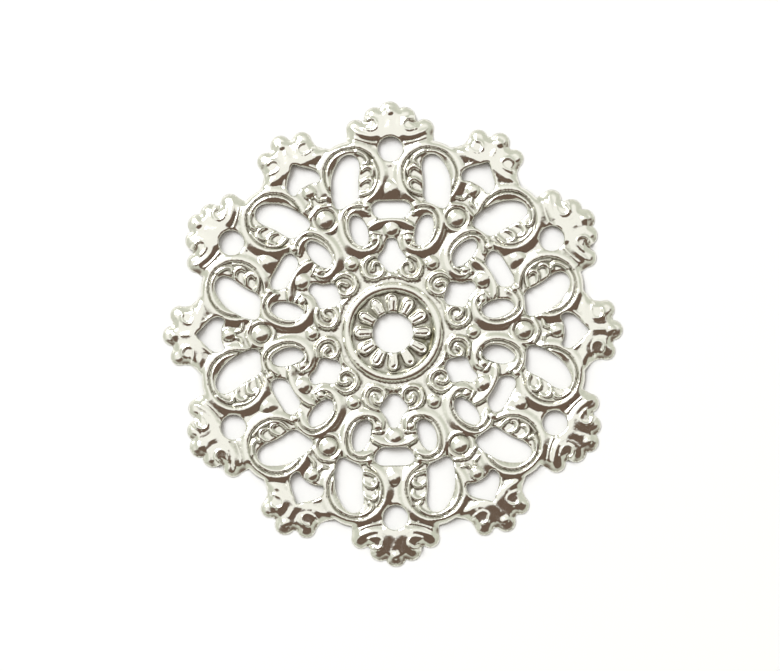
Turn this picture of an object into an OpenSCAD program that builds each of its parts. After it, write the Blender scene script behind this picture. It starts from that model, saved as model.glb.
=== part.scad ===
// Filigree flower connector: one stamped sheet with twelve lobes, pierced and embossed.
// It lies flat on its back. +Z is up, and a lobe with a round hole points along +Y.

/* [Whole piece] */
// Width across two opposite round-hole lobes
span = 60; // [50:1:80]
// Thickness of the pierced sheet where no relief stands
sheet_t = 0.55; // [0.5:0.05:0.9]
// Height of the beads above the sheet
bead_h = 0.45; // [0.35:0.05:0.6]

/* [Holes] */
// Diameter of the centre hole
centre_hole_d = 5.2; // [4:0.1:5.6]
// Diameter of the hole in each round-hole lobe
lobe_hole_d = 3.2; // [2:0.1:3.4]
// Distance of a lobe hole from the tips of the round-hole lobes
lobe_hole_inset = 6.25; // [6:0.05:6.5]

/* [Rosette] */
// Number of petals round the centre hole
petals = 12; // [6:6:12]
// Half width of a petal
petal_w = 0.62; // [0.5:0.02:0.64]
// Half width of the raised ring round the petals
ring_w = 0.42; // [0.3:0.02:0.46]

/* [Hidden] */
$fn = 32;

silver = [0.80, 0.79, 0.75];
// The tables below are drawn for a piece 60 across, and this scales them.
unit = span / 60;
lobe_hole_r = span / 2 - lobe_hole_inset;
// The pattern repeats every 60 degrees, and each repeat is its own mirror image.
repeats = 6;
repeat_angle = 360 / repeats;
half_angle = repeat_angle / 2;
// Straight steps along each bend of a smooth outline
bend_steps = 3;
// How far a cutter runs past a face
clear = 1;
cut_h = sheet_t + bead_h + 2 * clear;

// Outline discs of a round-hole lobe, with its axis on +Y: x, y, radius
LOBE_DISCS = [
    [0.00, 28.65, 1.35],
    [1.95, 27.90, 1.35],
    [4.40, 26.40, 1.25],
    [4.95, 20.30, 4.50]
];
// Outline discs of a diamond-hole lobe, with its axis on +Y: x, y, radius
DIAMOND_LOBE_DISCS = [
    [0.00, 28.20, 1.30],
    [2.65, 27.30, 1.20]
];
// Half outlines of the metal between those discs: x, y
LOBE_BODY = [
    [0, 29], [2, 28.5], [4.3, 26.9], [5.55, 25.9], [5.6, 24], [3, 20], [0, 20]
];
DIAMOND_LOBE_BODY = [
    [0, 28.5], [2.6, 28], [3.75, 26.8], [3.85, 25.9], [4.5, 25.1], [5.6, 24.2], [3.5, 21], [0, 20]
];
body_disc_r = 20.6;

// Half outlines of the openings that an axis halves, with that axis on +Y: x, y
KITE = [[0, 12.25], [0.7, 12.1], [0.9, 10.9], [2.05, 9.7], [1.2, 8.65], [0.45, 7.85], [0, 7.85]];
WINDOW = [[0, 17.05], [1.85, 17.1], [2.75, 16.25], [1.9, 14.7], [0, 14.8]];
DIAMOND = [[0, 25.3], [0.35, 24.9], [2.5, 22.9], [2, 21.35], [1, 21.95], [0, 22.05]];
// Whole outlines of the openings beside the axis of a round-hole lobe: x, y
KIDNEY = [
    [4.4, 23.0], [6.0, 23.1], [7.25, 21.4], [7.75, 19.4], [7.65, 17.0],
    [6.95, 15.8], [5.6, 16.4], [3.95, 17.2], [4.3, 19.4], [3.9, 21.6]
];
CRESCENT = [
    [4.0, 15.1], [5.1, 15.25], [5.45, 14.2], [5.35, 12.7],
    [4.6, 11.4], [3.2, 11.0], [2.85, 12.4], [3.2, 14.0]
];

// Round ribs bent to an arc, beside the axis of a round-hole lobe:
// centre x, centre y, bend radius, start angle, turn, half width
RIBS = [
    [4.95, 20.30, 4.00, -38, 276, 0.36],
    [4.95, 20.30, 3.30, -20, 245, 0.24],
    [4.10, 14.50, 2.10, -20, 148, 0.36],
    [3.20, 12.10, 2.07, 172, 168, 0.36],
    [2.40, 27.10, 1.50, 165, 170, 0.30],
    [2.35, 8.15, 1.05, -60, 290, 0.24]
];
// The straight rib that joins the third and fourth of those: x, y of its two ends, and its half width
stem_from = [6.07, 13.78];
stem_to = [5.145, 11.39];
stem_w = 0.33;
// The scroll rib of a diamond-hole lobe, and the bow under a window
DIAMOND_LOBE_SCROLL = [2.65, 26.00, 1.40, 130, 185, 0.30];
BOW = [0, 10.20, 4.25, 49, 82, 0.33];
// Beads beside the axis of a round-hole lobe: x, y, radius
SIDE_BEADS = [
    [2.85, 22.15, 0.62],
    [2.80, 20.75, 0.62],
    [3.00, 19.30, 0.62],
    [3.10, 16.30, 0.50],
    [2.30, 11.90, 0.50],
    [2.30, 8.20, 0.42]
];
// Beads on an axis: distance from the centre, radius
LOBE_BEADS = [[28.6, 0.60], [18.65, 0.95], [13.1, 0.95]];
DIAMOND_LOBE_BEADS = [[28.1, 0.60], [20.95, 0.80], [16.9, 1.10], [10.3, 0.85]];

ring_r = 5.8;
// Distance from the centre to the middle of a petal's round end
petal_r = 4.15;
petal_inner_r = 2;
// Depth of a petal's round axis below the top of the sheet
petal_sink = 0.25;
// The round end is this much wider than the petal, so that their surfaces cross.
petal_end_extra = 0.03;

function mirrored(half) = concat(
    half, [for (i = [len(half) - 1:-1:0]) if (half[i][0] > 0) [-half[i][0], half[i][1]]]
);
// A point of the curve that bends at b and runs from halfway a-b to halfway b-c
function bend(a, b, c, t) = (1 - t) ^ 2 * (a + b) / 2 + 2 * t * (1 - t) * b + t ^ 2 * (b + c) / 2;
function smooth(outline) = [
    for (i = [0:len(outline) - 1], k = [0:bend_steps - 1])
    let (last = len(outline) - 1)
    bend(outline[i == 0 ? last : i - 1], outline[i], outline[i == last ? 0 : i + 1], k / bend_steps)
];

module every_repeat() {
    for (k = [0:repeats - 1])
        rotate(k * repeat_angle)
            children();
}

module both_sides() {
    children();
    mirror([1, 0, 0])
        children();
}

module discs(rows) {
    for (row = rows)
        translate(unit * [row[0], row[1]])
            circle(r = unit * row[2]);
}

module sheet_outline() {
    circle(r = unit * body_disc_r);
    every_repeat() {
        both_sides()
            discs(LOBE_DISCS);
        polygon(unit * mirrored(LOBE_BODY));
        rotate(half_angle) {
            both_sides()
                discs(DIAMOND_LOBE_DISCS);
            polygon(unit * mirrored(DIAMOND_LOBE_BODY));
        }
    }
}

module openings() {
    every_repeat() {
        polygon(unit * smooth(mirrored(KITE)));
        polygon(unit * smooth(mirrored(WINDOW)));
        rotate(half_angle)
            polygon(unit * smooth(mirrored(DIAMOND)));
        both_sides() {
            polygon(unit * smooth(KIDNEY));
            polygon(unit * smooth(CRESCENT));
        }
    }
}

module pierced_sheet() {
    linear_extrude(sheet_t)
        difference() {
            sheet_outline();
            openings();
        }
}

// A rib whose round section is centred on the top of the sheet
module rib(row) {
    translate([unit * row[0], unit * row[1], sheet_t])
        rotate(row[3])
            rotate_extrude(angle = row[4])
                translate([unit * row[2], 0])
                    circle(r = unit * row[5]);
}

module stem() {
    way = stem_to - stem_from;
    translate([unit * stem_from[0], unit * stem_from[1], sheet_t])
        rotate([0, 90, atan2(way[1], way[0])])
            cylinder(r = unit * stem_w, h = unit * norm(way));
}

// A cap of a ball that stands on the sheet with a foot of the given radius
module bead(foot) {
    ball_r = (foot ^ 2 + bead_h ^ 2) / (2 * bead_h);
    translate([0, 0, sheet_t + bead_h - ball_r])
        intersection() {
            sphere(r = ball_r);
            translate([-ball_r, -ball_r, ball_r - bead_h - sheet_t / 2])
                cube(2 * ball_r);
        }
}

module axis_beads(rows) {
    for (row = rows)
        translate([0, unit * row[0]])
            bead(unit * row[1]);
}

module lobe_relief() {
    both_sides() {
        for (row = RIBS)
            rib(row);
        stem();
        for (row = SIDE_BEADS)
            translate(unit * [row[0], row[1]])
                bead(unit * row[2]);
    }
    rib(BOW);
    axis_beads(LOBE_BEADS);
}

module diamond_lobe_relief() {
    both_sides()
        rib(DIAMOND_LOBE_SCROLL);
    axis_beads(DIAMOND_LOBE_BEADS);
}

// A petal is a round bar with a ball at its outer end, sunk into the sheet and cut off inside it.
module petal() {
    bar_l = unit * (petal_r - petal_inner_r);
    end_w = petal_w + petal_end_extra;
    intersection() {
        translate([0, unit * petal_inner_r, sheet_t - petal_sink])
            rotate([-90, 0, 0]) {
                cylinder(r = unit * petal_w, h = bar_l);
                translate([0, 0, bar_l])
                    sphere(r = unit * end_w);
            }
        translate([-span / 2, 0, sheet_t / 2])
            cube(span);
    }
}

module rosette() {
    rib([0, 0, ring_r, 0, 360, ring_w]);
    for (k = [0:petals - 1])
        rotate(k * 360 / petals)
            petal();
}

module filigree_flower() {
    color(silver)
        difference() {
            union() {
                pierced_sheet();
                every_repeat() {
                    lobe_relief();
                    rotate(half_angle)
                        diamond_lobe_relief();
                }
                rosette();
            }
            translate([0, 0, -clear])
                cylinder(d = centre_hole_d, h = cut_h);
            every_repeat()
                translate([0, lobe_hole_r, -clear])
                    cylinder(d = lobe_hole_d, h = cut_h);
        }
}

filigree_flower();
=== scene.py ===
"""Filigree flower connector: one stamped, pierced and embossed sheet of bright plated metal.

The relief is drawn in millimetres for a flower 60 mm across, in one slice from the axis of a round-hole
lobe to the axis of the next diamond-hole lobe. Everything else of the flower is that slice, mirrored and
turned.
"""
from math import cos, radians, sin, sqrt

import bpy
import numpy as np
from mathutils import Matrix, Vector


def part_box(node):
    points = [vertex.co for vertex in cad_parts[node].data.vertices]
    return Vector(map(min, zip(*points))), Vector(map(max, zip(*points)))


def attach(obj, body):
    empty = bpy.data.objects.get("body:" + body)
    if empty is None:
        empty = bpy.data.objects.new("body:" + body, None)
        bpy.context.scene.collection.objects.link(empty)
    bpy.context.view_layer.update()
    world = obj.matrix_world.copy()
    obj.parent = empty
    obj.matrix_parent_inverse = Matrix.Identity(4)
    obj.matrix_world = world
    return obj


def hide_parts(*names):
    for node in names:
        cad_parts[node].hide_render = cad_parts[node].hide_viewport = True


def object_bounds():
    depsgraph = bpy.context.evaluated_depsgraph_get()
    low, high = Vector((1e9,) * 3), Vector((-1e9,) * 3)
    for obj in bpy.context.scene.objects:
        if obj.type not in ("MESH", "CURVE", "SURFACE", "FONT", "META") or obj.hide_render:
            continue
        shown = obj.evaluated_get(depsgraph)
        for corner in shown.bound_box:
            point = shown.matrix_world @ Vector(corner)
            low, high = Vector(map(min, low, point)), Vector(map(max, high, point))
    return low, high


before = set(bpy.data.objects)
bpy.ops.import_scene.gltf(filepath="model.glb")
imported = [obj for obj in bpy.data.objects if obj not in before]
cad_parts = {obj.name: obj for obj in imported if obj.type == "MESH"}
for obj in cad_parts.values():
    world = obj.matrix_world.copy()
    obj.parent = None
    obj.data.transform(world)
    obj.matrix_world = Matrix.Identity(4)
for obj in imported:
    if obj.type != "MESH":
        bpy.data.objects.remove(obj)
cad_low, cad_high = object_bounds()

# Sizes
MM = 0.001
DRAWN_SPAN = 60.0
node_low, node_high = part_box("filigree_flower")
# Metres to a drawn millimetre
UNIT = (node_high.y - node_low.y) / DRAWN_SPAN
# Room left between the relief and the top of the solid
TOP_ROOM = 0.01
TOP_LIMIT = (node_high.z - node_low.z) / UNIT - TOP_ROOM
REPEATS = 6
HALF_REPEAT = radians(180 / REPEATS)
# Reach of the lattice that the sheet is cut from
FLOWER_R = 30.2
# A distance that stands for out of reach
FAR = 9.0
# Keeps a squared length from being zero where it divides
TINY = 1e-12

# Outline discs of a round-hole lobe and of a diamond-hole lobe, axis on +Y: x, y, radius
LOBE_DISCS = [(0, 28.65, 1.35), (1.95, 27.9, 1.35), (4.4, 26.4, 1.25), (4.95, 20.3, 4.5)]
DIAMOND_LOBE_DISCS = [(0, 28.2, 1.3), (2.65, 27.3, 1.2)]
BODY_DISC_R = 20.6
# Half outlines of the metal between those discs: x, y
LOBE_BODY = [(0, 29), (2, 28.5), (4.3, 26.9), (5.55, 25.9), (5.6, 24), (3, 20), (0, 20)]
DIAMOND_LOBE_BODY = [
    (0, 28.5), (2.6, 28), (3.75, 26.8), (3.85, 25.9), (4.5, 25.1), (5.6, 24.2), (3.5, 21), (0, 20),
]
# Openings: half outlines where the axis halves them, and whole outlines beside it
KITE = [(0, 12.25), (0.7, 12.1), (0.9, 10.9), (2.05, 9.7), (1.2, 8.65), (0.45, 7.85), (0, 7.85)]
WINDOW = [(0, 17.05), (1.85, 17.1), (2.75, 16.25), (1.9, 14.7), (0, 14.8)]
DIAMOND = [(0, 25.3), (0.35, 24.9), (2.5, 22.9), (2, 21.35), (1, 21.95), (0, 22.05)]
KIDNEY = [
    (4.4, 23.0), (6.0, 23.1), (7.25, 21.4), (7.75, 19.4), (7.65, 17.0),
    (6.95, 15.8), (5.6, 16.4), (3.95, 17.2), (4.3, 19.4), (3.9, 21.6),
]
CRESCENT = [
    (4.0, 15.1), (5.1, 15.25), (5.45, 14.2), (5.35, 12.7),
    (4.6, 11.4), (3.2, 11.0), (2.85, 12.4), (3.2, 14.0),
]
# Round holes on the axis of a round-hole lobe: distance from the centre, radius
ROUND_HOLES = [(0, 2.6), (23.75, 1.6)]


# Outline curves

def turned(points, angle):
    """The points turned anticlockwise about the centre; further columns stay."""
    p = np.array(points, float)
    x, y = p[:, 0].copy(), p[:, 1].copy()
    p[:, 0] = x * cos(angle) - y * sin(angle)
    p[:, 1] = x * sin(angle) + y * cos(angle)
    return p


def mirrored(half):
    """A whole outline from the half that lies at x >= 0."""
    right = np.array(half, float)
    left = right[right[:, 0] > 0][::-1] * (-1, 1)
    return np.vstack([right, left])


def smooth(outline, steps=6):
    """A closed curve that bends at each point and passes halfway between them."""
    here = np.array(outline, float)
    before, after = np.roll(here, 1, 0), np.roll(here, -1, 0)
    t = (np.arange(steps) / steps)[None, :, None]
    start, bend, end = (before + here)[:, None] / 2, here[:, None], (here + after)[:, None] / 2
    return ((1 - t) ** 2 * start + 2 * t * (1 - t) * bend + t * t * end).reshape(-1, 2)


def drawn_line(rows, steps=5):
    """An open curve that starts and ends at its end rows and bends at the others."""
    p = np.array(rows, float)
    if len(p) == 2:
        return p
    t = (np.arange(1, steps + 1) / steps)[:, None]
    spans = [p[:1]]
    for i in range(1, len(p) - 1):
        start = p[0] if i == 1 else (p[i - 1] + p[i]) / 2
        end = p[-1] if i == len(p) - 2 else (p[i] + p[i + 1]) / 2
        spans.append((1 - t) ** 2 * start + 2 * t * (1 - t) * p[i] + t * t * end)
    return np.vstack(spans)


def inside_distance(x, y, outline):
    """Distance to a closed outline, positive inside it."""
    nearest = np.full(x.shape, np.inf)
    inside = np.zeros(x.shape, bool)
    for (ax, ay), (bx, by) in zip(outline, np.roll(outline, -1, 0)):
        dx, dy = bx - ax, by - ay
        t = np.clip(((x - ax) * dx + (y - ay) * dy) / (dx * dx + dy * dy + TINY), 0, 1)
        nearest = np.minimum(nearest, (x - ax - t * dx) ** 2 + (y - ay - t * dy) ** 2)
        if dy:
            inside ^= ((ay > y) != (by > y)) & (x < dx * (y - ay) / dy + ax)
    return np.where(inside, 1, -1) * np.sqrt(nearest)


def metal_shapes():
    """What the slice's outline and openings are made of."""
    lobe_discs = [np.array(LOBE_DISCS)]
    for side in (1, -1):
        discs = np.array(DIAMOND_LOBE_DISCS, float) * (side, 1, 1)
        lobe_discs.append(turned(discs, -HALF_REPEAT))
    bodies = [mirrored(LOBE_BODY), turned(mirrored(DIAMOND_LOBE_BODY), -HALF_REPEAT)]
    openings = [
        smooth(mirrored(KITE)), smooth(mirrored(WINDOW)), smooth(KIDNEY), smooth(CRESCENT),
        turned(smooth(mirrored(DIAMOND)), -HALF_REPEAT),
    ]
    return np.vstack(lobe_discs), bodies, openings


METAL_DISCS, METAL_BODIES, METAL_OPENINGS = metal_shapes()


def outline_distance(x, y):
    """Distance of a point of the slice to the outline, positive inside it and exact near it."""
    d = BODY_DISC_R - np.hypot(x, y)
    for cx, cy, r in METAL_DISCS:
        d = np.maximum(d, r - np.hypot(x - cx, y - cy))
    for outline in METAL_BODIES:
        d = np.maximum(d, inside_distance(x, y, outline))
    return d


def edge_distance(x, y):
    """Distance of a point of the slice to the nearest edge of the metal, positive in the metal."""
    d = outline_distance(x, y)
    for outline in METAL_OPENINGS:
        d = np.minimum(d, -inside_distance(x, y, outline))
    for cy, r in ROUND_HOLES:
        d = np.minimum(d, np.hypot(x, y - cy) - r)
    return d


# The outline of the lobes as points: distance from the centre where it begins, radians between two points
# of a disc, steps along each straight stretch, and how far a point may lie inside the outline or past the
# axis
RIM_FROM = 23.0
RIM_TURN = 0.04
RIM_STEPS = 40
OFF_OUTLINE = 1e-4
PAST_AXIS = 0.01


def rim_points():
    """Points along the outline of the lobes, close together."""
    turns = np.arange(0, 2 * np.pi, RIM_TURN)
    circle = np.column_stack([np.cos(turns), np.sin(turns)])
    shapes = [(cx, cy) + r * circle for cx, cy, r in METAL_DISCS]
    share = np.linspace(0, 1, RIM_STEPS, endpoint=False)[None, :, None]
    for outline in METAL_BODIES:
        ends = np.roll(outline, -1, 0)
        shapes.append((outline[:, None] * (1 - share) + ends[:, None] * share).reshape(-1, 2))
    points = np.vstack(shapes)
    on_outline = (outline_distance(*points.T) < OFF_OUTLINE) & (points[:, 0] > -PAST_AXIS)
    return points[on_outline & (np.hypot(*points.T) > RIM_FROM)]


RIM_POINTS = rim_points()


def rim_distance(x, y):
    """Distance to the outline of the lobes, and FAR for points nearer the centre than RIM_FROM."""
    nearest = np.full(x.shape, FAR ** 2)
    outer = np.hypot(x, y) > RIM_FROM
    outer_x, outer_y, best = x[outer], y[outer], nearest[outer]
    for px, py in RIM_POINTS:
        best = np.minimum(best, (outer_x - px) ** 2 + (outer_y - py) ** 2)
    nearest[outer] = best
    return np.sqrt(nearest)


# Relief

# Arcs of a ridge: least number of steps, degrees to a step, and for the two ends their share of the arc and
# of its width
ARC_STEPS = 4
ARC_STEP = 9
END_SHARE = 0.1
END_WIDTH = 0.7


def arc(cx, cy, r, start, turn, left, right, end_height, height, last_r=None):
    """Ridge rows along an arc, narrower and lower at its two ends. Its radius changes to last_r."""
    count = max(ARC_STEPS, int(abs(turn) / ARC_STEP))
    rows = []
    for i in range(count + 1):
        share = i / count
        a = radians(start + turn * share)
        full = min(1.0, share / END_SHARE, (1 - share) / END_SHARE)
        wide = END_WIDTH + (1 - END_WIDTH) * full
        crest = end_height + (height - end_height) * full
        here = r + ((last_r or r) - r) * share
        rows.append((cx + here * cos(a), cy + here * sin(a), left * wide, right * wide, crest))
    return rows


# Ridges of the slice, each with its drop, by which it sinks over its width, and its line. Those listed in
# ROUND_RIDGES have the axis of the round-hole lobe on +Y, those in DIAMOND_RIDGES that of the diamond-hole
# lobe. Rows of a line: x, y, width to the left of the way, width to the right, height of the crest.
KIDNEY_BAND = (0.48, arc(4.95, 20.3, 3.95, -58, 302, 0.34, 0.98, 0.82, 1.00, 3.68))
KIDNEY_LIP = (0.42, arc(4.95, 20.3, 3.36, -50, 150, 0.66, 0.28, 0.80, 0.91, 3.2))
KIDNEY_CURL = (0.42, drawn_line([
    (4.4, 23.45, 0.3, 0.5, 0.90), (3.6, 23.15, 0.28, 0.5, 0.90), (3.05, 22.6, 0.27, 0.4, 0.90),
    (2.9, 22.05, 0.3, 0.4, 0.89), (3.3, 21.8, 0.3, 0.4, 0.84),
]))
KIDNEY_STEM_LIP = (0.42, drawn_line([
    (2.3, 22.2, 0.25, 0.25, 0.80), (1.85, 21.3, 0.3, 0.27, 0.88), (1.72, 20.3, 0.3, 0.27, 0.89),
    (1.87, 19.2, 0.3, 0.27, 0.89), (2.4, 18.35, 0.4, 0.28, 0.90), (3.2, 17.95, 0.4, 0.3, 0.90),
    (4.1, 17.8, 0.4, 0.3, 0.86),
]))
CRESCENT_BAND = (0.48, drawn_line([
    (2.9, 16.3, 0.4, 0.4, 0.90), (3.9, 16.55, 0.45, 0.34, 0.98), (5.0, 16.4, 0.45, 0.32, 1.00),
    (5.9, 15.9, 0.5, 0.32, 1.00), (6.35, 14.95, 0.65, 0.32, 1.00), (6.4, 13.8, 0.75, 0.32, 1.00),
    (6.15, 12.6, 0.8, 0.32, 1.00), (5.55, 11.55, 0.9, 0.32, 1.00), (4.75, 10.9, 1.0, 0.32, 1.00),
    (3.8, 10.6, 1.0, 0.32, 1.00), (2.85, 10.65, 0.95, 0.32, 1.00), (2.05, 11.05, 0.75, 0.32, 0.98),
    (1.55, 11.75, 0.5, 0.32, 0.95), (1.65, 12.4, 0.35, 0.3, 0.86),
]))
CRESCENT_LIP = (0.42, drawn_line([
    (2.95, 15.5, 0.3, 0.5, 0.84), (3.7, 15.95, 0.27, 0.8, 0.90), (4.7, 15.92, 0.27, 0.85, 0.91),
    (5.4, 15.45, 0.27, 0.65, 0.91), (5.78, 14.6, 0.28, 0.5, 0.90), (5.8, 13.6, 0.28, 0.5, 0.90),
    (5.55, 12.6, 0.28, 0.5, 0.90), (5.05, 11.75, 0.28, 0.5, 0.90), (4.4, 11.25, 0.26, 0.45, 0.90),
    (3.6, 11.05, 0.26, 0.42, 0.90), (2.9, 11.12, 0.26, 0.42, 0.90), (2.45, 11.5, 0.28, 0.4, 0.90),
    (2.5, 12.1, 0.3, 0.4, 0.88),
]))
BOW = (0.48, arc(0, 10.2, 4.45, 46, 88, 0.85, 0.36, 0.80, 0.99))
BOW_TIE = (0.34, drawn_line([
    (3.0, 12.75, 0.28, 0.28, 0.74), (2.3, 12.95, 0.3, 0.3, 0.86), (1.5, 12.7, 0.3, 0.3, 0.80),
]))
SPIRAL = (0.5, drawn_line([
    (1.9, 9.95, 0.36, 0.36, 0.84), (3.2, 9.75, 0.38, 0.4, 0.98), (3.85, 8.45, 0.38, 0.45, 1.02),
    (3.4, 7.2, 0.38, 0.45, 1.02), (2.35, 6.85, 0.38, 0.45, 1.02), (1.3, 7.3, 0.38, 0.45, 1.02),
    (0.98, 8.3, 0.38, 0.45, 1.00), (1.5, 9.2, 0.38, 0.38, 0.98), (2.5, 9.0, 0.4, 0.4, 0.98),
    (2.5, 8.2, 0.45, 0.45, 0.96),
]))
ROOF = (0.3, drawn_line([(0, 7.4, 0.22, 0.22, 0.76), (1.7, 6.95, 0.2, 0.2, 0.68)]))
TOOTH = (0.42, drawn_line([
    (4.0, 20.8, 0.4, 0.28, 0.74), (3.4, 21.45, 0.45, 0.3, 0.86), (2.6, 21.5, 0.55, 0.3, 0.92),
    (2.1, 20.9, 0.5, 0.3, 0.90), (2.3, 20.4, 0.4, 0.3, 0.80),
]))
LOWER_TOOTH = (0.42, drawn_line([
    (4.0, 19.2, 0.4, 0.28, 0.74), (3.4, 19.85, 0.45, 0.3, 0.86), (2.6, 19.9, 0.55, 0.3, 0.92),
    (2.15, 19.3, 0.5, 0.3, 0.90), (2.5, 18.8, 0.4, 0.3, 0.80),
]))
LOBE_LIP = (0.3, drawn_line([
    (0.9, 26.0, 0.5, 0.4, 0.90), (1.5, 25.6, 0.5, 0.55, 0.93), (2.4, 25.4, 0.5, 0.6, 0.94),
    (3.3, 25.6, 0.5, 0.6, 0.93), (4.2, 25.95, 0.5, 0.6, 0.88), (5.1, 26.3, 0.5, 0.6, 0.70),
]))
LOBE_STEM = (0.3, drawn_line([
    (0, 25.4, 0.7, 0.7, 0.92), (0, 26.3, 0.5, 0.5, 0.95), (0, 27.4, 0.25, 0.25, 0.80),
]))
DIAMOND_STEM = (0.3, drawn_line([
    (0, 25.2, 0.7, 0.7, 0.90), (0, 26.0, 0.5, 0.5, 0.92), (0, 27.1, 0.25, 0.25, 0.76),
]))
LOBE_RIM = (0.34, drawn_line([
    (1.8, 24.5, 0.22, 0.3, 0.76), (2.6, 24.6, 0.22, 0.3, 0.80), (3.6, 24.85, 0.22, 0.3, 0.80),
    (4.6, 25.2, 0.22, 0.3, 0.76), (5.4, 25.5, 0.22, 0.3, 0.55),
]))
DIAMOND_LIP = (0.3, drawn_line([
    (1.0, 25.6, 0.5, 0.4, 0.88), (1.6, 24.95, 0.5, 0.8, 0.93), (2.6, 24.7, 0.5, 1.0, 0.93),
    (3.7, 24.75, 0.5, 1.0, 0.88), (4.9, 24.85, 0.5, 0.7, 0.66),
]))
DIAMOND_RIM = (0.3, drawn_line([
    (0, 25.7, 0.4, 0.4, 0.82), (1.2, 24.6, 0.42, 0.4, 0.82), (2.3, 23.4, 0.35, 0.3, 0.80),
    (2.9, 22.5, 0.3, 0.3, 0.76),
]))
COLLAR = (0.34, drawn_line([
    (2.2, 17.6, 0.25, 0.25, 0.80), (1.4, 18.3, 0.26, 0.26, 0.88), (0, 18.7, 0.26, 0.26, 0.90),
]))
NECK = (0.34, drawn_line([
    (2.1, 19.1, 0.26, 0.26, 0.76), (1.0, 19.35, 0.26, 0.26, 0.84), (0.45, 19.5, 0.24, 0.24, 0.84),
    (0.4, 20.1, 0.22, 0.22, 0.80),
]))
PETAL = (0.45, drawn_line([
    (0, 2.2, 0.6, 0.6, 0.79), (0, 3.2, 0.74, 0.74, 0.86), (0, 4.2, 0.86, 0.86, 0.885),
]))
PETAL_RIM = (0.5, drawn_line([
    (0.36, 2.3, 0.24, 0.24, 0.76), (0.44, 3.4, 0.26, 0.26, 0.86), (0.58, 4.4, 0.26, 0.26, 0.89),
    (0, 4.95, 0.26, 0.26, 0.89), (-0.58, 4.4, 0.26, 0.26, 0.89),
]))
ROUND_RIDGES = [
    KIDNEY_BAND, KIDNEY_LIP, KIDNEY_CURL, KIDNEY_STEM_LIP, TOOTH, LOWER_TOOTH, CRESCENT_BAND,
    CRESCENT_LIP, BOW, BOW_TIE, SPIRAL, ROOF, LOBE_LIP, LOBE_RIM, LOBE_STEM, PETAL, PETAL_RIM,
]
DIAMOND_RIDGES = [DIAMOND_LIP, DIAMOND_RIM, DIAMOND_STEM, COLLAR, NECK, PETAL, PETAL_RIM]
# The hooks in the lobes, which run out over the rims that turn down
LOBE_HOOK = (0.35, drawn_line([
    (2.9, 27.6, 0.3, 0.35, 0.84), (2.3, 27.85, 0.3, 0.38, 0.88), (1.65, 27.2, 0.32, 0.42, 0.91),
    (1.75, 26.45, 0.32, 0.42, 0.92), (2.5, 26.1, 0.32, 0.42, 0.92), (3.4, 26.4, 0.3, 0.4, 0.82),
]))
DIAMOND_HOOK = (0.35, drawn_line([
    (2.7, 26.9, 0.3, 0.35, 0.82), (2.1, 27.15, 0.3, 0.38, 0.86), (1.45, 26.5, 0.32, 0.42, 0.88),
    (1.55, 25.75, 0.32, 0.42, 0.90), (2.3, 25.4, 0.32, 0.42, 0.90), (3.2, 25.65, 0.3, 0.4, 0.80),
]))
# How round the crest of a ridge is, as a share of its width
CREST_ROUND = 0.35
# A ridge is worked out as far as this many widths from its line, and is NO_RIDGE high past that.
RIDGE_REACH = 1.7
NO_RIDGE = -9.0
# Size of the fillet where two forms of the relief meet
FILLET = 0.05
# Above this height the ridges are flattened, by this share
FLAT_FROM = 0.88
FLAT_SHARE = 0.6

# The creases beside the stems are this deep, and drawn as ridges are, with a share of the depth as height.
CREASE_DEPTH = 0.05
LOBE_CREASE = (1.0, drawn_line([
    (1.0, 28.5, 0.25, 0.25, 0.4), (0.65, 27.6, 0.28, 0.28, 1), (0.65, 26.7, 0.28, 0.28, 1),
    (1.1, 26.0, 0.25, 0.25, 0.4),
]))
DIAMOND_CREASE = (1.0, drawn_line([
    (1.05, 27.9, 0.25, 0.25, 0.4), (0.65, 27.1, 0.28, 0.28, 1), (0.65, 26.1, 0.28, 0.28, 1),
    (1.1, 25.4, 0.25, 0.25, 0.4),
]))

# Beads: x, y, half width, half length, height, drop at that width. They sink with this power of the square
# of the distance.
BEAD_POWER = 1.5
ROUND_BEADS = [
    (3.15, 16.35, 0.6, 0.6, 0.97, 0.42), (2.2, 12.1, 0.62, 0.62, 0.95, 0.42),
    (0, 13.4, 1.1, 1.1, 0.98, 0.45), (0, 18.6, 1.0, 1.1, 0.95, 0.42), (0, 18.5, 1.5, 1.35, 0.80, 0.40),
    (0, 28.6, 0.6, 0.6, 0.78, 0.30),
]
DIAMOND_BEADS = [
    (0, 28.0, 0.6, 0.6, 0.76, 0.30), (0, 21.0, 0.9, 0.95, 0.97, 0.45), (0, 16.85, 1.2, 1.2, 0.98, 0.50),
    (0, 10.3, 0.92, 0.92, 0.96, 0.50),
]
# Rings: distance of the centre on the axis of a diamond-hole lobe, radius, width inwards, width outwards,
# height, drop
RINGS = [(0, 5.85, 0.60, 0.60, 1.02, 0.5), (16.85, 1.6, 0.3, 0.35, 0.80, 0.3)]
# The rim of the round hole in a lobe: distance of its centre, radius, width, height, drop
HOLE_RIM = (23.75, 2.0, 0.5, 0.60, 0.2)
# Height of the sheet under the ornament: distance from the centre, height
SHEET_HEIGHTS = [
    (2.6, 0.40), (4.9, 0.40), (5.4, 0.50), (9, 0.50), (14, 0.50), (20, 0.52), (24.1, 0.57),
]
# In the lobes the sheet rises over RISE_LENGTH. Rows: bearing from the axis of the round-hole lobe in
# degrees, share of the rise, distance of its middle from the centre.
LOBE_RISE = [
    (0, 1, 24.7), (2.5, 1, 24.7), (4.0, 1, 25.3), (10.5, 1, 25.3), (12.5, 0, 25.3),
    (18.5, 0, 24.3), (20.5, 1, 24.3), (30, 1, 24.3),
]
RISE_LENGTH = 0.8
# Bearing where the one kind of lobe ends and the other begins
LOBES_MEET = 15
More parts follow.
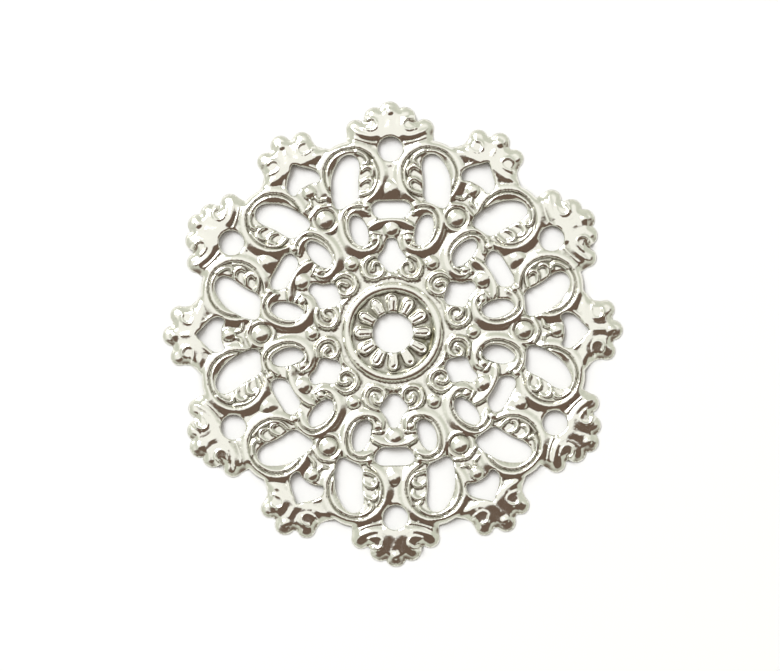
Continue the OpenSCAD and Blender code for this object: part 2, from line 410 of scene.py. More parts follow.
# The lobes fall away evenly from a peak on their axis, which is cut off at LOBE_CAP: its distance from the
# centre in a round-hole and in a diamond-hole lobe, its height, the slope, and the share of it sideways
LOBE_PEAKS = (24.2, 23.4)
LOBE_TOP = 1.18
LOBE_CAP = 0.90
LOBE_SLOPE = 0.14
LOBE_SIDEWAYS = 0.8
# The rims of the lobes turn down: height of the edge there, slope up from it, and the distances from the
# centre between which the turn begins
RIM_EDGE = 0.05
RIM_SLOPE = 0.77
RIM_BEGINS = (24.6, 25.8)
# The rims are matt within MATT_RIM of the edge, and wholly so beside it: above 1, MATT_FADE widens that.
MATT_RIM = 0.9
MATT_FADE = 1.25
# The rims are less steep by the notches between the scallops: x, y of the notches of both kinds of lobe,
# slope within the first distance of them, and the distance from which on the slope is that of the rims
LOBE_NOTCHES = [(1.28, 29.07), (3.15, 27.7), (5.5, 25.5)]
DIAMOND_NOTCHES = [(1.35, 28.3), (3.8, 26.4)]
NOTCH_SLOPE = 0.5
NOTCH_REACH = (0.3, 1.1)
# The cut edge elsewhere: its least height, how much lower than the top beside it, and how far from it the
# top starts to round down
EDGE_HEIGHT = 0.42
EDGE_DROP = 0.10
EDGE_ROUND = 0.13
# The back is pressed up under what stands higher than BACK_START. Within BACK_MARGIN of an edge it eases
# down to the flat.
BACK_START = 0.62
BACK_MARGIN = 0.8
# A point starts to be a hollow, painted darker partly as shade and partly as tarnish that polishing doesn't
# reach, where the relief HOLLOW_R round it is higher by HOLLOW_FROM on average, and is wholly one where it
# is higher by HOLLOW_DEPTH more.
HOLLOW_R = 0.3
HOLLOW_FROM = 0.035
HOLLOW_DEPTH = 0.09
HOLLOW_PROBES = 8
# Within ROSETTE_R of the centre the hollows are wider.
ROSETTE_R = 5.4
ROSETTE_HOLLOW_R = 0.55


def eased(share):
    """A share from 0 to 1 that leaves 0 and reaches 1 gently."""
    return share ** 2 * (3 - 2 * share)


def ridge_height(x, y, ridge):
    """Height of one ridge: a rounded crest that falls away evenly on both sides of its line."""
    drop, line = ridge
    full = sqrt(1 + CREST_ROUND ** 2) - CREST_ROUND
    best = np.full(x.shape, NO_RIDGE)
    for a, b in zip(line[:-1], line[1:]):
        ax, ay, bx, by = a[0], a[1], b[0], b[1]
        reach = RIDGE_REACH * max(a[2], a[3], b[2], b[3])
        close = (x > min(ax, bx) - reach) & (x < max(ax, bx) + reach)
        close &= (y > min(ay, by) - reach) & (y < max(ay, by) + reach)
        if not close.any():
            continue
        px, py = x[close] - ax, y[close] - ay
        dx, dy = bx - ax, by - ay
        t = np.clip((px * dx + py * dy) / (dx * dx + dy * dy + TINY), 0, 1)
        off_x, off_y = px - t * dx, py - t * dy
        left = dx * off_y - dy * off_x > 0
        width = np.where(left, a[2] + (b[2] - a[2]) * t, a[3] + (b[3] - a[3]) * t)
        crest = a[4] + (b[4] - a[4]) * t
        off = (off_x ** 2 + off_y ** 2) / width ** 2
        height = crest - drop * (np.sqrt(off + CREST_ROUND ** 2) - CREST_ROUND) / full
        best[close] = np.maximum(best[close], height)
    return best


def joined(one, other):
    """The higher of two heights, with a small fillet where they meet."""
    return (one + other + np.sqrt((one - other) ** 2 + FILLET ** 2)) / 2


def by_diamond_lobe(x, y):
    """How far a point of the slice lies from the axis of the diamond-hole lobe, and along it."""
    across = np.abs(x * cos(HALF_REPEAT) - y * sin(HALF_REPEAT))
    return across, x * sin(HALF_REPEAT) + y * cos(HALF_REPEAT)


def relief(x, y):
    """Height of the top over a point of the slice, before its edges are rounded.

    The sheet comes first, raised in the lobes, then the ridges and rings, flattened where they are highest,
    and then the creases, the beads and the rim of the round hole.
    """
    across, along = by_diamond_lobe(x, y)
    r, bearing = np.hypot(x, y), np.degrees(np.arctan2(x, y))
    top = np.interp(r, *np.array(SHEET_HEIGHTS).T)
    bearings, shares, middles = np.array(LOBE_RISE).T
    risen = np.clip((r - np.interp(bearing, bearings, middles)) / RISE_LENGTH + 0.5, 0, 1)
    risen = eased(risen) * np.interp(bearing, bearings, shares)
    in_round_lobe = bearing < LOBES_MEET
    aside = np.where(in_round_lobe, x, across) * LOBE_SIDEWAYS
    outwards = np.where(in_round_lobe, y - LOBE_PEAKS[0], along - LOBE_PEAKS[1])
    lobe = np.minimum(LOBE_TOP - LOBE_SLOPE * np.hypot(aside, outwards), LOBE_CAP)
    top = top + (lobe - top) * risen
    for u, v, ridges in ((x, y, ROUND_RIDGES), (across, along, DIAMOND_RIDGES)):
        for ridge in ridges:
            top = joined(top, ridge_height(u, v, ridge))
    for centre, radius, inwards, outwards, height, drop in RINGS:
        off = np.hypot(across, along - centre) - radius
        top = joined(top, height - drop * (off / np.where(off > 0, outwards, inwards)) ** 2)
    top = top - np.clip(top - FLAT_FROM, 0, None) * FLAT_SHARE
    sides = ((x, y, LOBE_CREASE, ROUND_BEADS), (across, along, DIAMOND_CREASE, DIAMOND_BEADS))
    for u, v, crease, beads in sides:
        top = top - CREASE_DEPTH * eased(np.clip(ridge_height(u, v, crease), 0, 1))
        for cx, cy, half_x, half_y, height, drop in beads:
            off = ((u - cx) / half_x) ** 2 + ((v - cy) / half_y) ** 2
            top = joined(top, height - drop * off ** BEAD_POWER)
    centre, radius, width, height, drop = HOLE_RIM
    off = np.hypot(x, y - centre) - radius
    return joined(top, height - drop * (off / width) ** 2)


def rim_slope(x, y):
    """Slope of the rims of the lobes, which is less by the notches."""
    nearest = np.full(x.shape, FAR)
    for u, v, notches in ((x, y, LOBE_NOTCHES), (*by_diamond_lobe(x, y), DIAMOND_NOTCHES)):
        for cx, cy in notches:
            nearest = np.minimum(nearest, np.hypot(u - cx, v - cy))
    return np.interp(nearest, NOTCH_REACH, (NOTCH_SLOPE, RIM_SLOPE))


def rim_share(x, y):
    """How far the rims have begun to turn down at a point of the slice, from 0 to 1."""
    return np.interp(np.hypot(x, y), RIM_BEGINS, (0, 1))


def folded(points):
    """The point of the slice that each point of the flower repeats."""
    r = np.hypot(points[:, 0], points[:, 1])
    turn = np.arctan2(points[:, 0], points[:, 1])
    turn = np.abs((turn + HALF_REPEAT) % (2 * HALF_REPEAT) - HALF_REPEAT)
    return r * np.sin(turn), r * np.cos(turn)


def distance_at(points):
    return edge_distance(*folded(points))


def heights_at(points):
    """Height of the top and of the hollow back at each point."""
    x, y = folded(points)
    high, d = relief(x, y), edge_distance(x, y)
    inwards = np.clip(d / EDGE_ROUND, 0, 1)
    rounding = np.sqrt(1 - (1 - inwards) ** 2)
    edge = np.maximum(EDGE_HEIGHT, high - EDGE_DROP)
    rounded = edge + (high - edge) * rounding
    turned_down = np.minimum(rounded, RIM_EDGE + rim_slope(x, y) * rim_distance(x, y))
    top = rounded + (turned_down - rounded) * rim_share(x, y)
    for u, v, hook in ((x, y, LOBE_HOOK), (*by_diamond_lobe(x, y), DIAMOND_HOOK)):
        top = joined(top, ridge_height(u, v, hook))
    top = np.minimum(top, TOP_LIMIT)
    back = np.clip(high - BACK_START, 0, None) * eased(np.clip(d / BACK_MARGIN, 0, 1))
    return top, back


def matt_at(points):
    """How matt each point is, from 0 to 1: the rims of the lobes are."""
    x, y = folded(points)
    matt = MATT_FADE - MATT_FADE * rim_distance(x, y) / MATT_RIM
    return rim_share(x, y) * np.clip(matt, 0, 1)


def hollow_at(points):
    """How deep each point lies below the relief round it, from 0 to 1."""
    x, y = folded(points)
    turns = np.arange(HOLLOW_PROBES) * 2 * np.pi / HOLLOW_PROBES
    reach = np.where(np.hypot(x, y) < ROSETTE_R, ROSETTE_HOLLOW_R, HOLLOW_R)
    around = sum(relief(x + reach * cos(a), y + reach * sin(a)) for a in turns) / HOLLOW_PROBES
    return np.clip((around - relief(x, y) - HOLLOW_FROM) / HOLLOW_DEPTH, 0, 1)


# Mesh of one repeat

# Distance between the points of the lattice
LATTICE = 0.485
# Points nearer the edge of the metal than this share of their spacing move onto it.
SNAP = 0.3
# By how much the edges of a triangle may miss the relief before it is split, and then split once more
MISS_ALLOWED = (0.015, 0.034)
# How far a point may lie off a straight side of the repeat and still be on it
OFF_SIDE = 1e-6
# Step over which the way to the nearest edge is measured
SLOPE_STEP = 0.01
# Decimals in which an edge point of the top agrees with that of the back
PLACE_DIGITS = 5
# The back is as dark and dull as this much of a hollow.
BACK_HOLLOW = 0.6


def repeat_lattice():
    """A triangular lattice between the axes of two neighbouring round-hole lobes."""
    rows = int(FLOWER_R / cos(HALF_REPEAT) / LATTICE) + 2
    index = -np.ones((rows + 1, rows + 1), int)
    first, second = np.array([0.0, 1.0]), np.array([sin(2 * HALF_REPEAT), cos(2 * HALF_REPEAT)])
    points = []
    for i in range(rows + 1):
        for j in range(rows + 1 - i):
            index[i, j] = len(points)
            points.append(LATTICE * (i * first + j * second))
    triangles = []
    for i in range(rows):
        for j in range(rows - i):
            triangles.append((index[i, j], index[i, j + 1], index[i + 1, j]))
            if i + j < rows - 1:
                triangles.append((index[i + 1, j], index[i, j + 1], index[i + 1, j + 1]))
    return np.array(points), np.array(triangles)


def used_only(points, triangles):
    """Drops the points that no triangle uses."""
    used, renumbered = np.unique(triangles, return_inverse=True)
    return points[used], renumbered.reshape(triangles.shape)


def edges_of(triangles):
    """The edges, each once, and for each triangle the numbers of its edges 0-1, 1-2 and 2-0."""
    pairs = np.stack([triangles, np.roll(triangles, -1, 1)], 2)
    edges, number = np.unique(np.sort(pairs, 2).reshape(-1, 2), axis=0, return_inverse=True)
    return edges, number.reshape(-1, 3)


def on_axis(points):
    """True for points on either straight side of the repeat."""
    sideways = np.abs(points[:, 0] * cos(2 * HALF_REPEAT) - points[:, 1] * sin(2 * HALF_REPEAT))
    return (points[:, 0] < OFF_SIDE) | (sideways < OFF_SIDE)


def refine(points, triangles, wanted, inset=-FAR):
    """Splits the edges of the triangles that are wanted finer, and fits their neighbours to them.

    On the straight sides of the repeat it splits every edge that lies more than inset inside the metal, so
    that the two sides stay alike.
    """
    edges, number = edges_of(triangles)
    split = np.zeros(len(edges), bool)
    split[number[wanted].ravel()] = True
    middles = (points[edges[:, 0]] + points[edges[:, 1]]) / 2
    split |= on_axis(middles) & (distance_at(middles) > inset)
    new = np.full(len(edges), -1)
    new[split] = len(points) + np.arange(split.sum())
    cuts = new[number]
    kept = [triangles[(cuts < 0).all(1)]]
    count = (cuts >= 0).sum(1)
    for turn in range(3):
        a, b, c = np.roll(triangles, -turn, 1).T
        ab, bc, ca = np.roll(cuts, -turn, 1).T
        one = (count == 1) & (ab >= 0)
        kept += [np.stack([a, ab, c], 1)[one], np.stack([ab, b, c], 1)[one]]
        two = (count == 2) & (ca < 0)
        kept += [np.stack(t, 1)[two] for t in ((ab, b, bc), (a, ab, bc), (a, bc, c))]
    a, b, c = triangles.T
    ab, bc, ca = cuts.T
    full = count == 3
    kept += [np.stack(t, 1)[full] for t in ((a, ab, ca), (ab, b, bc), (bc, c, ca), (ab, bc, ca))]
    return np.vstack([points, middles[split]]), np.vstack(kept)


def missed(points, triangles):
    """By how much the edges of each triangle miss the relief at their middles."""
    edges, number = edges_of(triangles)
    z = heights_at(points)[0]
    middle = heights_at((points[edges[:, 0]] + points[edges[:, 1]]) / 2)[0]
    return np.abs(middle - z[edges].mean(1))[number].max(1)


def onto_edge(points):
    """The points moved onto the nearest edge of the metal."""
    slope = np.stack([
        distance_at(points + (SLOPE_STEP, 0)) - distance_at(points - (SLOPE_STEP, 0)),
        distance_at(points + (0, SLOPE_STEP)) - distance_at(points - (0, SLOPE_STEP)),
    ], 1) / (2 * SLOPE_STEP)
    return points - distance_at(points)[:, None] * slope


def trimmed(points, triangles, spacing):
    """Cuts the triangles along the edge of the metal and keeps the metal."""
    d = distance_at(points)
    near = np.abs(d) < SNAP * spacing
    points = points.copy()
    points[near] = onto_edge(points[near])
    d[near] = 0
    inside = (d[triangles] >= 0).all(1) & (d[triangles] > 0).any(1)
    crossing = (d[triangles] > 0).any(1) & (d[triangles] < 0).any(1)
    kept, added, made = [triangles[inside]], [], {}
    for triangle in triangles[crossing]:
        corners = []
        for a, b in zip(triangle, np.roll(triangle, -1)):
            if d[a] >= 0:
                corners.append(a)
            if d[a] * d[b] < 0:
                key = (min(a, b), max(a, b))
                if key not in made:
                    made[key] = len(points) + len(added)
                    added.append(points[a] + (points[b] - points[a]) * d[a] / (d[a] - d[b]))
                corners.append(made[key])
        for i in range(1, len(corners) - 1):
            kept.append([[corners[0], corners[i], corners[i + 1]]])
    points = np.vstack([points, onto_edge(np.array(added))])
    return used_only(points, np.vstack(kept))


def repeat_sheet():
    """The top and the back of one repeat: points and triangles of each, with the same cut edge."""
    points, triangles = repeat_lattice()
    d = distance_at(points)[triangles]
    points, triangles = used_only(points, triangles[d.max(1) > -LATTICE])
    at_edge = np.abs(distance_at(points)[triangles]).min(1) < LATTICE
    back = trimmed(*refine(points, triangles, at_edge), LATTICE / 2)
    finer = at_edge | (missed(points, triangles) > MISS_ALLOWED[0])
    points, triangles = refine(points, triangles, finer)
    inner = distance_at(points)[triangles].min(1) > LATTICE / 2
    finer = inner & (missed(points, triangles) > MISS_ALLOWED[1])
    points, triangles = refine(points, triangles, finer, LATTICE / 2)
    return trimmed(points, triangles, LATTICE / 2), back


def rim_of(triangles):
    """The directed edges that only one triangle has."""
    pairs = np.stack([triangles, np.roll(triangles, -1, 1)], 2).reshape(-1, 2)
    known = set(map(tuple, pairs.tolist()))
    return [(a, b) for a, b in known if (b, a) not in known]


def add_values(mesh, name, kind, domain, values):
    """Writes an attribute of the mesh."""
    mesh.attributes.new(name, kind, domain).data.foreach_set("value", values)


def repeat_mesh():
    """One repeat of the sheet as a mesh in metres, open on its two straight sides.

    The materials read how deep in a hollow and how matt a point is, and whether a face is a shorn wall: the
    hollows are painted darker as shade and tarnish, the walls as shade.
    """
    (points, triangles), (back_points, back_triangles) = repeat_sheet()
    top = heights_at(points)[0]
    back = heights_at(back_points)[1]
    count = len(points)
    vertices = np.vstack([np.column_stack([points, top]), np.column_stack([back_points, back])])
    faces = triangles.tolist() + (back_triangles[:, ::-1] + count).tolist()
    rounded_back = np.round(back_points, PLACE_DIGITS).tolist()
    place = {tuple(p): i + count for i, p in enumerate(rounded_back)}
    rounded = np.round(points, PLACE_DIGITS).tolist()
    at_side = on_axis(points)
    for a, b in sorted(rim_of(triangles)):
        if not (at_side[a] and at_side[b]):
            faces.append((b, a, place[tuple(rounded[a])], place[tuple(rounded[b])]))
    mesh = bpy.data.meshes.new("stamped_repeat")
    mesh.from_pydata((vertices * UNIT).tolist(), [], faces)
    hollow = np.concatenate([hollow_at(points), np.full(len(back_points), BACK_HOLLOW)])
    matt = np.concatenate([matt_at(points), np.zeros(len(back_points))])
    # The shorn walls are painted dark, as shade in the openings.
    shorn = [float(len(face) == 4) for face in faces]
    add_values(mesh, "hollow", "FLOAT", "POINT", hollow)
    add_values(mesh, "matt", "FLOAT", "POINT", matt)
    add_values(mesh, "shorn", "FLOAT", "FACE", shorn)
    mark_lower_rim(mesh, count)
    return mesh


def mark_lower_rim(mesh, first_back_point):
    """The lower edge of each wall is sharp, as the shears leave it."""
    ends = np.zeros(2 * len(mesh.edges), int)
    mesh.edges.foreach_get("vertices", ends)
    ends = ends.reshape(-1, 2)
    walls = set()
    for polygon in mesh.polygons:
        if len(polygon.vertices) == 4:
            walls.update(map(tuple, map(sorted, polygon.edge_keys)))
    lower = (ends >= first_back_point).all(1)
    sharp = [bool(low) and tuple(sorted(pair)) in walls for low, pair in zip(lower, ends.tolist())]
    add_values(mesh, "sharp_edge", "BOOLEAN", "EDGE", sharp)


# Objects and nodes

def added(name, data):
    """A new object in the scene."""
    thing = bpy.data.objects.new(name, data)
    bpy.context.scene.collection.objects.link(thing)
    return thing


def linked(tree, pairs):
    for source, target in pairs:
        tree.links.new(source, target)


def set_values(node, values):
    """Gives the named inputs of a node their values."""
    for name, value in values.items():
        node.inputs[name].default_value = value


def math_node(tree, operation, first=None, second=None):
    """A node that calculates, with the values that no link brings."""
    node = tree.nodes.new("ShaderNodeMath")
    node.operation = operation
    for socket, value in zip(node.inputs, (first, second)):
        if value is not None:
            socket.default_value = value
    return node


def attribute_node(tree, name):
    node = tree.nodes.new("ShaderNodeAttribute")
    node.attribute_name = name
    return node


# The flower from its repeat

# Widest gap that closes between two repeats, in millimetres
SEAM = 0.002
# The stamping is uneven: share of its height that the relief loses as the noise goes from 0 to 1, value of
# the noise at which it has its drawn height, distance between the low spots in millimetres, detail and seed
UNEVENNESS = 0.18
NOISE_LOW = 0.25
WAVE_LENGTH = 4.0
WAVE_DETAIL = 2
SEED = 7.0


def repeats_tree():
    """Turns the repeat round the centre, joins the seams and lets the stamping vary a little."""
    tree = bpy.data.node_groups.new("stamped_repeats", "GeometryNodeTree")
    for name, kind in (
        ("Geometry", "NodeSocketGeometry"), ("Repeats", "NodeSocketInt"), ("Seam", "NodeSocketFloat"),
        ("Unevenness", "NodeSocketFloat"), ("Waves per Metre", "NodeSocketFloat"),
        ("Seed", "NodeSocketFloat"), ("Plating", "NodeSocketMaterial"),
    ):
        tree.interface.new_socket(name=name, in_out="INPUT", socket_type=kind)
    tree.interface.new_socket(name="Geometry", in_out="OUTPUT", socket_type="NodeSocketGeometry")
    node = tree.nodes.new
    start, end = node("NodeGroupInput"), node("NodeGroupOutput")
    line, index = node("GeometryNodeMeshLine"), node("GeometryNodeInputIndex")
    line.inputs["Offset"].default_value = (0, 0, 0)
    share, angle = math_node(tree, "DIVIDE", 2 * np.pi), math_node(tree, "MULTIPLY")
    turn, instances = node("ShaderNodeCombineXYZ"), node("GeometryNodeInstanceOnPoints")
    real, seam = node("GeometryNodeRealizeInstances"), node("GeometryNodeMergeByDistance")
    position, split = node("GeometryNodeInputPosition"), node("ShaderNodeSeparateXYZ")
    noise = node("ShaderNodeTexNoise")
    noise.noise_dimensions = "4D"
    noise.inputs["Detail"].default_value = WAVE_DETAIL
    less, height = math_node(tree, "MULTIPLY"), math_node(tree, "MULTIPLY")
    left = math_node(tree, "SUBTRACT", 1 + NOISE_LOW * UNEVENNESS)
    whole, moved = node("ShaderNodeCombineXYZ"), node("GeometryNodeSetPosition")
    shade, finish = node("GeometryNodeSetShadeSmooth"), node("GeometryNodeSetMaterial")
    linked(tree, (
        (start.outputs["Repeats"], line.inputs["Count"]),
        (start.outputs["Repeats"], share.inputs[1]),
        (index.outputs[0], angle.inputs[0]),
        (share.outputs[0], angle.inputs[1]),
        (angle.outputs[0], turn.inputs["Z"]),
        (line.outputs["Mesh"], instances.inputs["Points"]),
        (start.outputs["Geometry"], instances.inputs["Instance"]),
        (turn.outputs[0], instances.inputs["Rotation"]),
        (instances.outputs[0], real.inputs[0]),
        (real.outputs[0], seam.inputs["Geometry"]),
        (start.outputs["Seam"], seam.inputs["Distance"]),
        (position.outputs[0], noise.inputs["Vector"]),
        (start.outputs["Waves per Metre"], noise.inputs["Scale"]),
        (start.outputs["Seed"], noise.inputs["W"]),
        (noise.outputs[0], less.inputs[0]),
        (start.outputs["Unevenness"], less.inputs[1]),
        (less.outputs[0], left.inputs[1]),
        (position.outputs[0], split.inputs[0]),
        (split.outputs["Z"], height.inputs[0]),
        (left.outputs[0], height.inputs[1]),
        (split.outputs["X"], whole.inputs["X"]),
        (split.outputs["Y"], whole.inputs["Y"]),
        (height.outputs[0], whole.inputs["Z"]),
        (seam.outputs[0], moved.inputs["Geometry"]),
        (whole.outputs[0], moved.inputs["Position"]),
        (moved.outputs[0], shade.inputs[0]),
        (shade.outputs[0], finish.inputs["Geometry"]),
        (start.outputs["Plating"], finish.inputs["Material"]),
        (finish.outputs[0], end.inputs[0]),
    ))
    return tree


def stamped_flower(plating):
    """The whole sheet as one plain mesh."""
    maker = added("flower_maker", repeat_mesh())
    modifier = maker.modifiers.new("repeats", "NODES")
    modifier.node_group = repeats_tree()
    values = {
        "Repeats": REPEATS, "Seam": SEAM * MM, "Unevenness": UNEVENNESS,
        "Waves per Metre": 1 / (WAVE_LENGTH * MM), "Seed": SEED, "Plating": plating,
    }
    for item in modifier.node_group.interface.items_tree:
        if item.in_out == "INPUT" and item.name in values:
            modifier[item.identifier] = values[item.name]
    bpy.context.view_layer.update()
    seen = maker.evaluated_get(bpy.context.evaluated_depsgraph_get())
    mesh = bpy.data.meshes.new_from_object(seen)
    maker.modifiers.clear()
    bpy.data.objects.remove(maker)
    mesh.name = "flower_sheet"
    return added("flower_sheet", mesh)


# Finishes

# The plating: colour where it is polished, and the darker colour painted into the hollows as shade and
# tarnish and onto the shorn walls as shade;
# roughness of the two, and what the matt rims add to it
PLATE_COLOUR = (0.865, 0.853, 0.785, 1)
SHADE_AND_TARNISH_COLOUR = (0.15, 0.14, 0.085, 1)
PLATE_ROUGHNESS = (0.12, 0.36)
MATT_ROUGHNESS = 0.12
# The painted shade and tarnish in the hollows are cloudy: waves to a metre, the values of the noise between
# which they darken, and the share of the dark colour at the two
CLOUD_SCALE = 300
CLOUD_RANGE = (0.35, 0.7)
CLOUD_SHARE = (0.5, 1.0)
# The grain of the plating: waves to a metre, strength and height in metres of its bump, and the detail of
# both noises
GRAIN_SCALE = 2500
GRAIN_STRENGTH = 0.15
GRAIN_HEIGHT = 0.00005
PLATE_DETAIL = 3


def new_material(name):
    material = bpy.data.materials.new(name)
    material.use_nodes = True
    material.node_tree.nodes.clear()
    output = material.node_tree.nodes.new("ShaderNodeOutputMaterial")
    surface = material.node_tree.nodes.new("ShaderNodeBsdfPrincipled")
    material.node_tree.links.new(surface.outputs[0], output.inputs["Surface"])
    return material, surface


def bright_plate():
    """Warm bright plating: polished on the crests; in the hollows duller and browner with painted shade and
    tarnish, and on the shorn walls darkened with painted shade.
    """
    material, surface = new_material("bright_plate")
    tree = material.node_tree
    node = tree.nodes.new
    surface.inputs["Metallic"].default_value = 1.0
    place = node("ShaderNodeTexCoord")
    hollow, shorn, matt = (attribute_node(tree, name) for name in ("hollow", "shorn", "matt"))
    cloud, grain = node("ShaderNodeTexNoise"), node("ShaderNodeTexNoise")
    set_values(cloud, {"Scale": CLOUD_SCALE, "Detail": PLATE_DETAIL})
    set_values(grain, {"Scale": GRAIN_SCALE, "Detail": PLATE_DETAIL})
    cloudy = node("ShaderNodeMapRange")
    set_values(cloudy, {"From Min": CLOUD_RANGE[0], "From Max": CLOUD_RANGE[1]})
    set_values(cloudy, {"To Min": CLOUD_SHARE[0], "To Max": CLOUD_SHARE[1]})
    # The hollows are painted with shade and tarnish, the shorn walls with shade: the larger of the two
    # mixes in the dark colour.
    hollow_shade_and_tarnish, dark = math_node(tree, "MULTIPLY"), math_node(tree, "MAXIMUM")
    colour, dull = node("ShaderNodeMix"), node("ShaderNodeMapRange")
    colour.data_type = "RGBA"
    set_values(colour, {"A": PLATE_COLOUR, "B": SHADE_AND_TARNISH_COLOUR})
    set_values(dull, {"To Min": PLATE_ROUGHNESS[0], "To Max": PLATE_ROUGHNESS[1]})
    rough = math_node(tree, "MULTIPLY_ADD", second=MATT_ROUGHNESS)
    bump = node("ShaderNodeBump")
    set_values(bump, {"Strength": GRAIN_STRENGTH, "Distance": GRAIN_HEIGHT})
    linked(tree, (
        (place.outputs["Object"], cloud.inputs["Vector"]),
        (place.outputs["Object"], grain.inputs["Vector"]),
        (cloud.outputs[0], cloudy.inputs["Value"]),
        (hollow.outputs["Fac"], hollow_shade_and_tarnish.inputs[0]),
        (cloudy.outputs[0], hollow_shade_and_tarnish.inputs[1]),
        (hollow_shade_and_tarnish.outputs[0], dark.inputs[0]),
        (shorn.outputs["Fac"], dark.inputs[1]),
        (dark.outputs[0], colour.inputs["Factor"]),
        (colour.outputs["Result"], surface.inputs["Base Color"]),
        (dark.outputs[0], dull.inputs["Value"]),
        (matt.outputs["Fac"], rough.inputs[0]),
        (dull.outputs[0], rough.inputs[2]),
        (rough.outputs[0], surface.inputs["Roughness"]),
        (grain.outputs[0], bump.inputs["Height"]),
        (bump.outputs[0], surface.inputs["Normal"]),
    ))
    return material


# Studio

# The floor: width in metres, and how far it lies below the flower in millimetres
FLOOR_SIZE = 3.0
FLOOR_GAP = 0.02
FLOOR_COLOUR = (0.96, 0.965, 0.98, 1)
FLOOR_ROUGHNESS = 0.6
# The light all round: colours overhead, near the floor and on the dark side
TENT_TOP = (1.0, 1.0, 0.97, 1)
TENT_FOOT = (0.64, 0.66, 0.58, 1)
WARM_DARK = (0.15, 0.105, 0.08, 1)
TENT_STRENGTH = 1.04
# Angles in degrees: rise over which the foot fades, and the warm dark side's bearing from south and rise,
# each where it begins, is full, stops being full and ends
FOOT_FADE = (22, 60)
DARK_BEARING = (-66, -52, 93, 109)
DARK_RISE = (21, 31, 82, 87)
# The picture's size, the flower's centre in it, and its scale
IMAGE_SIZE = (780, 671)
FLOWER_PIXEL = (392.8, 332.9)
PIXELS_PER_MM = 7.8
# The camera: how far the picture is turned, tilt, distance in metres and width of the sensor in millimetres
PHOTO_TURN = radians(0.78)
CAMERA_TILT = radians(6)
CAMERA_DISTANCE = 0.6
SENSOR_WIDTH = 36
# The soft light above: power in watts, and size and place in metres
KEY_POWER = 21.0
KEY_SIZE = 0.9
KEY_PLACE = (-0.75, 0.95, 1.1)


def studio_floor():
    material, surface = new_material("pale_floor")
    surface.inputs["Base Color"].default_value = FLOOR_COLOUR
    surface.inputs["Roughness"].default_value = FLOOR_ROUGHNESS
    mesh = bpy.data.meshes.new("studio_floor")
    half, level = FLOOR_SIZE / 2, cad_low.z - FLOOR_GAP * MM
    corners = [(-half, -half, level), (half, -half, level), (half, half, level), (-half, half, level)]
    mesh.from_pydata(corners, [], [(0, 1, 2, 3)])
    mesh.materials.append(material)
    added("studio_floor", mesh)


def smooth_band(tree, value, low, low_full, high_full, high):
    """A value that is 1 between low_full and high_full and falls to 0 at low and high."""
    both = math_node(tree, "MULTIPLY")
    for socket, zero, one in ((both.inputs[0], low, low_full), (both.inputs[1], high, high_full)):
        band = tree.nodes.new("ShaderNodeMapRange")
        band.interpolation_type = "SMOOTHSTEP"
        set_values(band, {"From Min": zero, "From Max": one})
        linked(tree, ((value, band.inputs["Value"]), (band.outputs[0], socket)))
    return both.outputs[0]


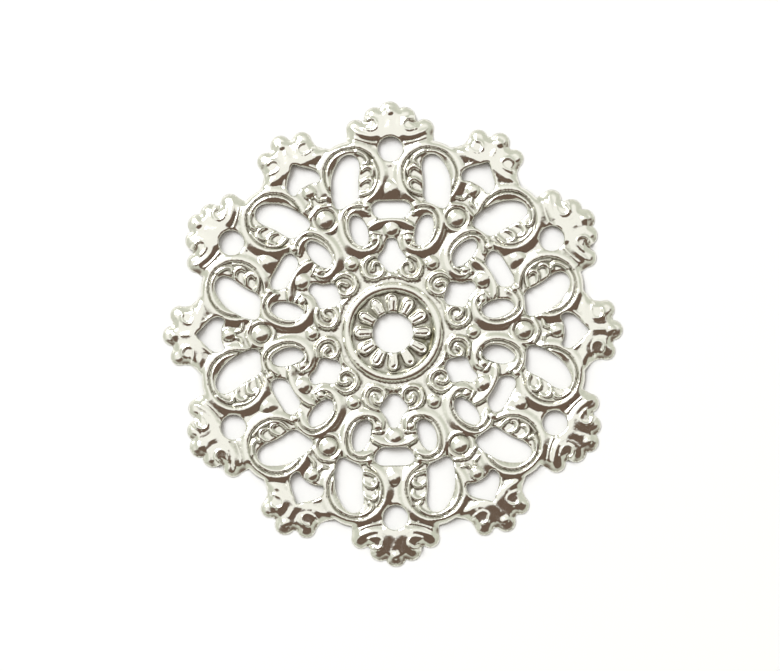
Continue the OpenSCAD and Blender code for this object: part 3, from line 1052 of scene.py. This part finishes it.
def light_tent():
    """White all round overhead, greyer near the floor, with one warm dark side to the south."""
    world = bpy.data.worlds.new("light_tent")
    world.use_nodes = True
    tree = world.node_tree
    node = tree.nodes.new
    back = tree.nodes["Background"]
    back.inputs["Strength"].default_value = TENT_STRENGTH
    way, split = node("ShaderNodeTexCoord"), node("ShaderNodeSeparateXYZ")
    rise, bearing = math_node(tree, "ARCSINE"), math_node(tree, "ARCTAN2")
    south, dark = math_node(tree, "MULTIPLY", second=-1), math_node(tree, "MULTIPLY")
    fade, tent, colour = node("ShaderNodeMapRange"), node("ShaderNodeMix"), node("ShaderNodeMix")
    tent.data_type = colour.data_type = "RGBA"
    set_values(fade, {"From Min": radians(FOOT_FADE[0]), "From Max": radians(FOOT_FADE[1])})
    set_values(tent, {"A": TENT_FOOT, "B": TENT_TOP})
    set_values(colour, {"B": WARM_DARK})
    across = smooth_band(tree, bearing.outputs[0], *(radians(a) for a in DARK_BEARING))
    upwards = smooth_band(tree, rise.outputs[0], *(radians(a) for a in DARK_RISE))
    linked(tree, (
        (way.outputs["Generated"], split.inputs[0]),
        (split.outputs["Z"], rise.inputs[0]),
        (split.outputs["Y"], south.inputs[0]),
        (split.outputs["X"], bearing.inputs[0]),
        (south.outputs[0], bearing.inputs[1]),
        (rise.outputs[0], fade.inputs["Value"]),
        (fade.outputs[0], tent.inputs["Factor"]),
        (across, dark.inputs[0]),
        (upwards, dark.inputs[1]),
        (dark.outputs[0], colour.inputs["Factor"]),
        (tent.outputs["Result"], colour.inputs["A"]),
        (colour.outputs["Result"], back.inputs["Color"]),
    ))
    bpy.context.scene.world = world


def studio_camera():
    """Looks down almost square on, through a long lens."""
    camera = bpy.data.cameras.new("studio_camera")
    camera.sensor_width = SENSOR_WIDTH
    camera.lens = camera.sensor_width * CAMERA_DISTANCE / (IMAGE_SIZE[0] / PIXELS_PER_MM * MM)
    target = Vector((
        (IMAGE_SIZE[0] / 2 - FLOWER_PIXEL[0]) / PIXELS_PER_MM * MM,
        (FLOWER_PIXEL[1] - IMAGE_SIZE[1] / 2) / PIXELS_PER_MM * MM,
        0,
    ))
    tilt = Matrix.Rotation(CAMERA_TILT, 4, "X")
    roll = Matrix.Rotation(-PHOTO_TURN, 4, "Z")
    back = Matrix.Translation((0, 0, CAMERA_DISTANCE))
    holder = added("studio_camera", camera)
    holder.matrix_world = Matrix.Translation(roll @ target) @ (roll @ tilt) @ back
    bpy.context.scene.camera = holder


def key_light():
    """A large soft light above, on the side of the lobes at the top left."""
    light = bpy.data.lights.new("soft_key", "AREA")
    light.energy, light.size = KEY_POWER, KEY_SIZE
    holder = added("soft_key", light)
    holder.location = KEY_PLACE
    holder.rotation_euler = Vector(KEY_PLACE).to_track_quat("Z", "Y").to_euler()


def clear_default_scene():
    """Removes the objects that a new scene starts with."""
    for name in ("Cube", "Light", "Camera"):
        thing = bpy.data.objects.get(name)
        if thing:
            bpy.data.objects.remove(thing)


clear_default_scene()
bpy.context.scene.view_settings.view_transform = "Standard"
flower = stamped_flower(bright_plate())
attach(flower, "root")
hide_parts("filigree_flower")
studio_floor()
light_tent()
key_light()
studio_camera()
